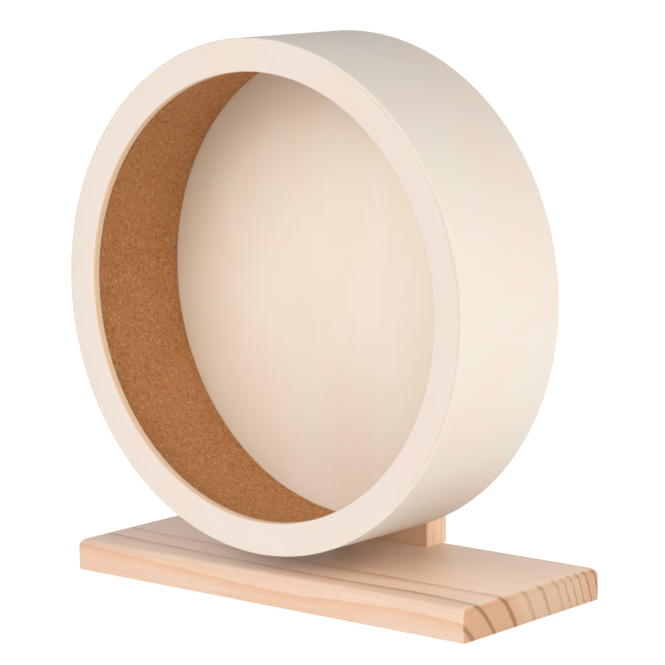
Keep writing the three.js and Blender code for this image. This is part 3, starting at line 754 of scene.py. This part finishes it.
def cork():
    """Pressed cork: small granules of several browns with dark bark specks and pale crumbs."""
    g = Graph("cork")
    p = g.place_mm()
    warp = g.noise(p, 1.4)
    spot = g.vector("ADD", p, g.join(warp, warp, g.times(warp, -1.0)))
    tone = g.split(g.cells(spot, GRANULE_FINENESS, output="Color"))[0]
    big_tone = g.split(g.cells(spot, BIG_GRANULE_FINENESS, output="Color"))[1]
    edge = g.cells(spot, GRANULE_FINENESS, feature="DISTANCE_TO_EDGE")
    fine = g.noise(p, 5.0, 3.0, 0.7)
    clouds = g.noise(p, 0.03)
    colour = g.mix(0.4, g.ramp(tone, GRANULES), g.ramp(big_tone, BIG_GRANULES))
    colour = g.mix(g.smooth(edge, 0.0, 0.12, 0.4, 0.0), colour, CORK_SEAM)
    colour = g.mix(g.smooth(fine, 0.35, 0.7, 0.0, 0.25), colour, CORK_BROWN)

    # A few cells hold a speck: the highest of their random numbers bark, the lowest a crumb.
    kind = g.split(g.cells(p, SPECK_FINENESS, output="Color"))[2]
    speck = g.smooth(g.cells(p, SPECK_FINENESS), 0.25, 0.5, 1.0, 0.0)
    bark = g.times(g.math("GREATER_THAN", kind, 0.955), speck)
    crumb = g.times(g.math("LESS_THAN", kind, 0.09), speck)
    colour = g.mix(g.times(bark, 0.7), colour, CORK_BARK)
    colour = g.mix(g.times(crumb, 0.6), colour, CORK_CRUMB)
    colour = g.mix(g.smooth(clouds, 0.35, 0.7, 0.0, 0.18), colour, CORK_LIGHT)

    height = g.plus(g.times(tone, 0.5), g.smooth(edge, 0.0, 0.2, 0.0, 0.6), g.times(fine, 0.4))
    normal = g.bump(height, 0.0003, 0.5)
    rough = g.scale(fine, 0.2, 0.8, 0.95, 0.82)
    return g.surface(Base_Color=colour, Roughness=rough, Normal=normal, Specular_IOR_Level=0.2)


GLUE_CLEAR = srgb(218, 204, 186)
GLUE_BROWN = srgb(172, 142, 114)


def glue():
    """The thin brown line of glue round the ring and the disc, strong in places and nearly gone in others, and
    mostly browner towards +X."""
    g = Graph("glue")
    p = g.place_mm()
    x, _, z = g.split(g.vector("SUBTRACT", p, (0.0, 0.0, AXLE_Z)))
    slow = g.noise(g.join(g.times(x, 0.012), 0.0, g.times(z, 0.012)))
    fine = g.noise(p, 0.8, 3.0)
    share = g.smooth(g.plus(slow, g.times(x, 0.0022)), 0.45, 0.75)
    share = g.times(share, g.scale(fine, 0.2, 0.8, 0.3, 0.8))
    colour = g.mix(share, GLUE_CLEAR, GLUE_BROWN)
    rough = g.scale(fine, 0.2, 0.8, 0.5, 0.35)
    return g.surface(Base_Color=colour, Roughness=rough, Normal=g.bump(fine, 0.0001, 0.4))


def metal(name, base, rough, brushed):
    """Steel, plated or ground. brushed is how fine its lines round the axle are, per mm."""
    g = Graph(name)
    p = g.place_from_axle()
    x, y, z = g.split(p)
    radius, angle = g.polar(x, z)
    lines = g.noise(g.join(g.times(angle, 1.5), g.times(y, brushed), g.times(radius, brushed)))
    cloud = g.noise(p, 0.6, 3.0)
    colour = g.mix(g.smooth(cloud, 0.3, 0.7), base, tuple(c * 0.86 for c in base))
    roughness = g.scale(g.plus(lines, cloud), 0.6, 1.4, rough * 0.8, rough * 1.3)
    normal = g.bump(lines, 0.00004, 0.35)
    return g.surface(Base_Color=colour, Roughness=roughness, Metallic=1.0, Normal=normal)


def nylon(name, base, rough):
    """Moulded nylon with a faint satin texture."""
    g = Graph(name)
    p = g.place_mm()
    fine = g.noise(p, 9.0, 3.0)
    colour = g.mix(g.smooth(g.noise(p, 0.7), 0.3, 0.7, 0.0, 0.5), base, tuple(c * 0.85 for c in base))
    normal = g.bump(fine, 0.00003, 0.4)
    return g.surface(Base_Color=colour, Roughness=g.scale(fine, 0.2, 0.8, rough, rough * 1.2), Normal=normal)


CORK = cork()
GLUE = glue()
ZINC = metal("zinc_plated_steel", (0.78, 0.79, 0.81), rough=0.3, brushed=6.0)
NUT_NYLON = nylon("nut_nylon", (0.10, 0.24, 0.62), rough=0.35)
SLOT_MATERIALS = {
    "pine": POST_PINE,
    "plywood": DISC_PLY,
    "cork": CORK,
    "beech": beech("beech", seed=40.0),
    "zinc_plated_steel": ZINC,
    "shield_steel": metal("shield_steel", (0.70, 0.70, 0.69), rough=0.38, brushed=3.0),
    "bearing_steel": metal("bearing_steel", (0.72, 0.72, 0.72), rough=0.18, brushed=14.0),
    "cage_nylon": nylon("cage_nylon", (0.80, 0.74, 0.62), rough=0.42),
    "nut_nylon": NUT_NYLON,
}


# ---------------------------------------------------------------- stand


def screw_hole(bm, node):
    """The shallow hole in the board's foot that shows a screw's head. Gives the loop of its rim."""
    (x0, y0, z0), (x1, y1, _) = node_box(node)
    x, y = (x0 + x1) / 2, (y0 + y1) / 2
    radius = (x1 - x0) / 2 + SCREW_SIDE_ROOM
    rim, end = [], []
    for a in turn(HOLE_STEPS):
        place = (x + radius * math.cos(a), y + radius * math.sin(a))
        rim.append(bm.verts.new((*place, 0)))
        end.append(bm.verts.new((*place, z0 + SCREW_TOP_ROOM)))
    loft(bm, [rim, end])
    fill(bm, end)
    return rim


def make_board():
    """The base board: rounded along its top edges, barely eased where it stands."""
    levels = [(BOARD_FOOT_EASE, 0.0), (0.0, BOARD_FOOT_EASE)]
    for a in quarter(BOARD_ROUND_STEPS):
        levels.append((BOARD_ROUND * (1 - math.cos(a)), BOARD_TOP - BOARD_ROUND * (1 - math.sin(a))))
    outline = rounded_rectangle(BOARD_HALF_X, BOARD_HALF_Y, BOARD_CORNER, CORNER_STEPS)
    outline = subdivided(outline, BOARD_LONGEST_SIDE)
    bm = bmesh.new()
    loops = []
    for inset, z in levels:
        kx = (BOARD_HALF_X - inset) / BOARD_HALF_X
        ky = (BOARD_HALF_Y - inset) / BOARD_HALF_Y
        loops.append([bm.verts.new((x * kx, y * ky, z)) for x, y in outline])
    loft(bm, loops)
    fill(bm, loops[-1])
    fill(bm, loops[0], *[screw_hole(bm, node) for node in SCREW_NODES])
    add_piece("pine_base_board", bm, BOARD_PINE, "stand", ["base_board"], crease=50.0)


def post_outline(inset):
    """The post seen from the front: square at the foot, rounded at the top corners."""
    half = POST_HALF_X - inset
    radius = POST_CORNER - inset
    x, z = half - radius, POST_TOP - inset - radius
    foot = [(-half, BOARD_TOP), (half, BOARD_TOP)]
    return foot + arc(x, z, radius, 0, 90, POST_CORNER_STEPS) + arc(-x, z, radius, 90, 180, POST_CORNER_STEPS)


def make_post():
    """The post, with the two bearing seats and the narrower hole between them."""
    bm = bmesh.new()
    levels = []
    for a in quarter(POST_EASE_STEPS):
        levels.append((POST_EASE * (1 - math.sin(a)), POST_FRONT + POST_EASE * (1 - math.cos(a))))
    levels += [(inset, POST_FRONT + POST_BACK - y) for inset, y in reversed(levels)]
    loops = [[bm.verts.new((x, y, z)) for x, z in post_outline(inset)] for inset, y in levels]
    loft(bm, loops)
    bore = [
        (SEAT_RADIUS + SEAT_LIP, POST_FRONT),
        (SEAT_RADIUS, POST_FRONT + SEAT_LIP),
        (SEAT_RADIUS, POST_FRONT + SEAT_DEPTH),
        (WEB_RADIUS, POST_FRONT + SEAT_DEPTH),
        (WEB_RADIUS, POST_BACK - SEAT_DEPTH),
        (SEAT_RADIUS, POST_BACK - SEAT_DEPTH),
        (SEAT_RADIUS, POST_BACK - SEAT_LIP),
        (SEAT_RADIUS + SEAT_LIP, POST_BACK),
    ]
    bores = [axle_loop(bm, radius, y, SMALL_STEPS) for radius, y in bore]
    loft(bm, bores)
    fill(bm, loops[0], bores[0])
    fill(bm, loops[-1], bores[-1])
    add_piece("pine_post", bm, POST_PINE, "stand", ["post"], crease=40.0)


make_board()
make_post()


# ---------------------------------------------------------------- wheel


def make_plywood():
    """The bent wall, the ring in the drum's mouth and the disc that closes its back."""
    eased = WALL_OUTER - WALL_EASE
    wall = [
        (WALL_INNER, DRUM_FRONT + WALL_SETBACK),
        *arc(eased, DRUM_FRONT + WALL_EASE, WALL_EASE, -90, 0, EASE_STEPS),
        *arc(eased, DRUM_BACK - WALL_EASE, WALL_EASE, 0, 90, EASE_STEPS),
        (WALL_INNER, DRUM_BACK),
    ]
    ring = [
        (PLATE_OUTER, DRUM_FRONT),
        (PLATE_OUTER, RING_BACK),
        *arc(RING_INNER + RING_EASE, RING_BACK - RING_EASE, RING_EASE, 90, 180, RING_EASE_STEPS),
        *arc(RING_INNER + RING_EASE, DRUM_FRONT + RING_EASE, RING_EASE, 180, 270, RING_EASE_STEPS),
    ]
    disc = [(0, DISC_FRONT), (PLATE_OUTER, DISC_FRONT), (PLATE_OUTER, DRUM_BACK), (0, DRUM_BACK)]
    for name, node, profile, material in (
        ("plywood_wall", "drum_wall", wall, WALL_PLY),
        ("plywood_ring", "front_ring", ring, RING_PLY),
        ("plywood_back_disc", "back_disc", disc, DISC_PLY),
    ):
        add_piece(name, lathe(profile, DRUM_STEPS), material, "wheel", [node])


def make_glue_beads():
    """Glue that fills the gap round the ring and the disc, just below the drum's two ends."""
    for name, y0, y1 in (
        ("front_glue_bead", DRUM_FRONT + FRONT_BEAD_SETBACK, DRUM_FRONT + BEAD_REACH),
        ("rear_glue_bead", DRUM_BACK - BEAD_REACH, DRUM_BACK - REAR_BEAD_SETBACK),
    ):
        inner, outer = PLATE_OUTER - BEAD_OVERLAP, WALL_INNER + BEAD_OVERLAP
        profile = rounded_tube(inner, outer, y0, y1, BEAD_EASE, BEAD_STEPS)
        add_piece(name, lathe(profile, DRUM_STEPS), GLUE, "wheel")


def make_cork():
    """The lining: a strip bent round, its two ends meeting in a butt joint, with the slightly uneven surface
    that rolled cork has."""
    rng = random.Random(CORK_SEED)
    half_joint = CORK_JOINT / 2 / CORK_INNER
    start = math.radians(CORK_JOINT_ANGLE) + half_joint
    span = 2 * math.pi - 2 * half_joint
    bm = bmesh.new()
    inner, outer = [], []
    for i in range(CORK_STEPS + 1):
        a = start + span * i / CORK_STEPS
        row = []
        for k in range(CORK_ROWS + 1):
            y = CORK_FRONT + (CORK_BACK - CORK_FRONT) * k / CORK_ROWS
            row.append(axle_point(bm, CORK_INNER + rng.uniform(0.0, CORK_UNEVEN), y, a))
        inner.append(row)
        outer.append([axle_point(bm, CORK_OUTER, y, a) for y in (CORK_FRONT, CORK_BACK)])
    for a, b, c, d in zip(inner, inner[1:], outer, outer[1:]):
        for k in range(CORK_ROWS):
            bm.faces.new((a[k], b[k], b[k + 1], a[k + 1]))
        bm.faces.new((c[0], d[0], d[1], c[1]))
        bm.faces.new((a[0], c[0], d[0], b[0]))
        bm.faces.new((a[-1], b[-1], d[1], c[1]))
    for row, back in ((inner[0], outer[0]), (inner[-1], outer[-1])):
        bm.faces.new([*row, back[1], back[0]])
    add_piece("cork_running_surface", bm, CORK, "wheel", ["cork_lining"])


make_plywood()
make_glue_beads()
make_cork()


# ---------------------------------------------------------------- hardware


def make_washers():
    """The three plated rings that still show between the hub, the post and the nut."""
    for node in ("hub_washer", "front_spacer", "rear_washer"):
        (_, y0, _), (_, y1, top) = node_box(node)
        bm = lathe(rounded_tube(WASHER_BORE, top - AXLE_Z, y0, y1, WASHER_EASE), SMALL_STEPS)
        add_piece(f"plated_{node}", bm, ZINC, "wheel", [node])


def hexagon(bm, y0, y1, across, back_chamfer, bore=None):
    """A hexagon along Y whose corners are chamfered by a cone, as on a bolt head or nut."""
    narrowest = across * HEXAGON_CHAMFER_SHARE
    slope = math.tan(HEXAGON_CHAMFER)
    ys = [y0 + level for level in HEXAGON_LEVELS] + [y1 - level for level in reversed(HEXAGON_LEVELS)]
    loops = []
    for y in ys:
        limit = min(across, narrowest + (y - y0) / slope)
        if back_chamfer:
            limit = min(limit, narrowest + (y1 - y) / slope)
        loop = []
        for a in turn(HEXAGON_STEPS):
            side = across / 2 / math.cos((a % (math.pi / 3)) - math.pi / 6)
            loop.append(axle_point(bm, min(side, limit), y, a))
        loops.append(loop)
    loft(bm, loops)
    holes = [[], []]
    if bore:
        inner = [axle_loop(bm, bore, y, THREAD_STEPS) for y in (y0, y1)]
        loft(bm, inner)
        holes = [[loop] for loop in inner]
    fill(bm, loops[0], *holes[0])
    fill(bm, loops[-1], *holes[1])


def make_bolt():
    """The axle bolt: its hexagon head in the hub, a plain shank, and a rolled thread where it stands out."""
    (_, head_front, low), (_, tip, high) = node_box("axle_bolt")
    head_back = head_front + BOLT_HEAD
    thread_length = tip - POST_BACK
    count = int(thread_length / (THREAD_PITCH / THREAD_ROWS))
    bm = bmesh.new()
    loops = [axle_loop(bm, THREAD_CREST, y, THREAD_STEPS) for y in (head_back, POST_BACK - SHANK_SETBACK)]
    for k in range(count + 1):
        y = POST_BACK - THREAD_LEAD_IN + (thread_length + THREAD_LEAD_IN) * k / count
        taper = max(0.0, y - (tip - THREAD_TAPER)) * THREAD_TAPER_SLOPE
        loop = []
        for i, a in enumerate(turn(THREAD_STEPS)):
            phase = (y / THREAD_PITCH - i / THREAD_STEPS) % 1.0
            crest = min(1.0, THREAD_FLANK * abs(2 * phase - 1))
            radius = min(THREAD_ROOT + (THREAD_CREST - THREAD_ROOT) * crest, THREAD_CREST - taper)
            loop.append(axle_point(bm, radius, y, a))
        loops.append(loop)
    loft(bm, loops)
    fill(bm, loops[0])
    fill(bm, loops[-1])
    hexagon(bm, head_front, head_back, high - low, back_chamfer=False)
    add_piece("plated_axle_bolt", bm, ZINC, "wheel", ["axle_bolt"])


def make_nut():
    """The lock nut: a hexagon, the round collar behind it, and the nylon ring that the collar holds."""
    (_, front, low), (_, back, high) = node_box("lock_nut")
    collar_front = front + NUT_HEXAGON
    bm = bmesh.new()
    hexagon(bm, front, collar_front, high - low, back_chamfer=True, bore=NUT_BORE)
    add_piece("plated_lock_nut", bm, ZINC, "wheel", ["lock_nut"])
    collar = [
        (NUT_BORE, collar_front),
        (COLLAR_OUTER, collar_front),
        *arc(COLLAR_OUTER - COLLAR_ROUND, back - COLLAR_ROUND, COLLAR_ROUND, 0, 90, EASE_STEPS),
        *arc(COLLAR_INNER + COLLAR_LIP, back - COLLAR_LIP, COLLAR_LIP, 90, 180, LIP_STEPS),
        (COLLAR_INNER, collar_front + COLLAR_WEB),
        (NUT_BORE, collar_front + COLLAR_WEB),
    ]
    add_piece("plated_nut_collar", lathe(collar, SMALL_STEPS), ZINC, "wheel")
    (_, y0, _), (_, y1, _) = node_box("lock_nut_insert")
    insert = lathe(rounded_tube(INSERT_BORE, INSERT_OUTER, y0, y1, INSERT_EASE), SMALL_STEPS)
    add_piece("nylon_nut_insert", insert, NUT_NYLON, "wheel", ["lock_nut_insert"])


make_washers()
make_bolt()
make_nut()


# ---------------------------------------------------------------- what is kept of the CAD pieces


def dress_cad_nodes():
    """Gives each CAD piece that is still shown its own finish, and smooth shading with sharp creases."""
    for row in frame["record"]["subparts"]:
        obj = NODES[row["node"]]
        if obj.hide_render:
            continue
        obj.data.materials.clear()
        obj.data.materials.append(SLOT_MATERIALS[row["material_slot"]])
        obj.data.shade_smooth()
        obj.data.set_sharp_from_angle(angle=math.radians(CAD_CREASE))


dress_cad_nodes()


# ---------------------------------------------------------------- studio


CAMERA_TARGET = Vector((0.05407, -0.060, 0.15487))
CAMERA_AZIMUTH = math.radians(40.3409)
CAMERA_ELEVATION = math.radians(8.7302)
CAMERA_ROLL = math.radians(-0.8225)
CAMERA_DISTANCE = 1.54487
CAMERA_LENS = 159.15
CAMERA_SENSOR = 36.0

FLOOR_HALF = 12.0
FLOOR_CELLS = 8
FLOOR_DROP = 0.0002
FLOOR_WHITE_UNTIL = 0.35
FLOOR_DIM_FROM = 0.9
FLOOR_DIM = 0.2
PAPER_DARK = (0.11, 0.11, 0.11)
PAPER_LIGHT = (0.13, 0.13, 0.13)

BACKDROP_ELEVATION = math.radians(5)
BACKDROP_STRENGTH = 1.05
BACKDROP_EDGE = 0.5
BACKDROP_FULL = 0.9
ROOM_STRENGTH = 0.06

# Soft panels: name, azimuth and elevation in degrees, how bright it alone makes a white surface that faces
# it, and its colour
PANELS = [
    ("left_panel", -15, 26, 0.41, (0.90, 0.965, 1.16)),
    ("low_panel", 9, 8, 0.45, (1.06, 1.03, 0.93)),
    ("front_panel", 32, 33, 0.26, (1.03, 0.98, 0.95)),
    ("right_panel", 85, 22, 0.53, (1.02, 1.0, 0.98)),
    ("far_panel", 120, 15, 0.40, (0.97, 1.0, 1.03)),
]
PANEL_SIZE = 1.6
PANEL_DISTANCE = 2.0
PANEL_TARGET = Vector((0, 0, 0.15))


def towards(azimuth, elevation):
    """The direction from the object to a place at that azimuth from -Y towards +X, and that elevation."""
    level = math.cos(elevation)
    return Vector((math.sin(azimuth) * level, -math.cos(azimuth) * level, math.sin(elevation)))


def make_camera():
    """The photo's camera, solved from the drum's two circles and the board's straight edges."""
    data = bpy.data.cameras.new("camera")
    data.lens = CAMERA_LENS
    data.sensor_width = CAMERA_SENSOR
    camera = bpy.data.objects.new("camera", data)
    bpy.context.scene.collection.objects.link(camera)
    back = towards(CAMERA_AZIMUTH, CAMERA_ELEVATION)
    right = Vector((0, 0, 1)).cross(back).normalized()
    up = back.cross(right)
    turned_right = right * math.cos(CAMERA_ROLL) + up * math.sin(CAMERA_ROLL)
    turned_up = up * math.cos(CAMERA_ROLL) - right * math.sin(CAMERA_ROLL)
    axes = Matrix((turned_right, turned_up, back)).transposed()
    camera.matrix_world = Matrix.Translation(CAMERA_TARGET + back * CAMERA_DISTANCE) @ axes.to_4x4()
    bpy.context.scene.camera = camera


def make_lights():
    """The soft panels, all at one distance and turned to the object."""
    for name, azimuth, elevation, brightness, colour in PANELS:
        data = bpy.data.lights.new(name, "AREA")
        data.shape = "DISK"
        data.size = PANEL_SIZE
        data.energy = brightness * math.pi**2 * PANEL_DISTANCE**2
        data.color = colour
        light = bpy.data.objects.new(name, data)
        bpy.context.scene.collection.objects.link(light)
        back = towards(math.radians(azimuth), math.radians(elevation))
        light.location = PANEL_TARGET + back * PANEL_DISTANCE
        light.rotation_euler = back.to_track_quat("Z", "Y").to_euler()


def make_floor():
    """A wide white sweep that glows by itself, and gets dimmer in front of the object."""
    bm = bmesh.new()
    bmesh.ops.create_grid(bm, x_segments=FLOOR_CELLS, y_segments=FLOOR_CELLS, size=FLOOR_HALF)
    mesh = bpy.data.meshes.new("floor")
    bm.to_mesh(mesh)
    bm.free()
    g = Graph("floor_paper")
    place = g.place.outputs["Object"]
    forward = g.vector("DOT_PRODUCT", place, tuple(towards(CAMERA_AZIMUTH, 0.0)))
    g.surface(
        Base_Color=g.mix(g.smooth(g.noise(place, 90.0, 3.0), 0.3, 0.7), PAPER_DARK, PAPER_LIGHT),
        Roughness=0.9,
        Specular_IOR_Level=0.0,
        Emission_Color=(1.0, 1.0, 1.0),
        Emission_Strength=g.smooth(forward, FLOOR_WHITE_UNTIL, FLOOR_DIM_FROM, 1.0, FLOOR_DIM),
    )
    mesh.materials.append(g.material)
    floor = bpy.data.objects.new("floor", mesh)
    bpy.context.scene.collection.objects.link(floor)
    floor.location.z = -FLOOR_DROP


def make_world():
    """A dim room with a white backdrop behind the object."""
    world = bpy.data.worlds.new("studio")
    world.use_nodes = True
    tree = world.node_tree
    place = tree.nodes.new("ShaderNodeTexCoord")
    facing = tree.nodes.new("ShaderNodeVectorMath")
    facing.operation = "DOT_PRODUCT"
    facing.inputs[1].default_value = towards(CAMERA_AZIMUTH + math.pi, BACKDROP_ELEVATION)
    glow = tree.nodes.new("ShaderNodeMapRange")
    glow.interpolation_type = "SMOOTHSTEP"
    glow.inputs["From Min"].default_value = BACKDROP_EDGE
    glow.inputs["From Max"].default_value = BACKDROP_FULL
    glow.inputs["To Min"].default_value = ROOM_STRENGTH
    glow.inputs["To Max"].default_value = BACKDROP_STRENGTH
    tree.links.new(place.outputs["Generated"], facing.inputs[0])
    tree.links.new(facing.outputs["Value"], glow.inputs["Value"])
    tree.links.new(glow.outputs["Result"], tree.nodes["Background"].inputs["Strength"])
    tree.nodes["Background"].inputs["Color"].default_value = (1, 1, 1, 1)
    bpy.context.scene.world = world


make_camera()
make_floor()
make_world()
make_lights()

bpy.context.scene.view_settings.view_transform = "Standard"
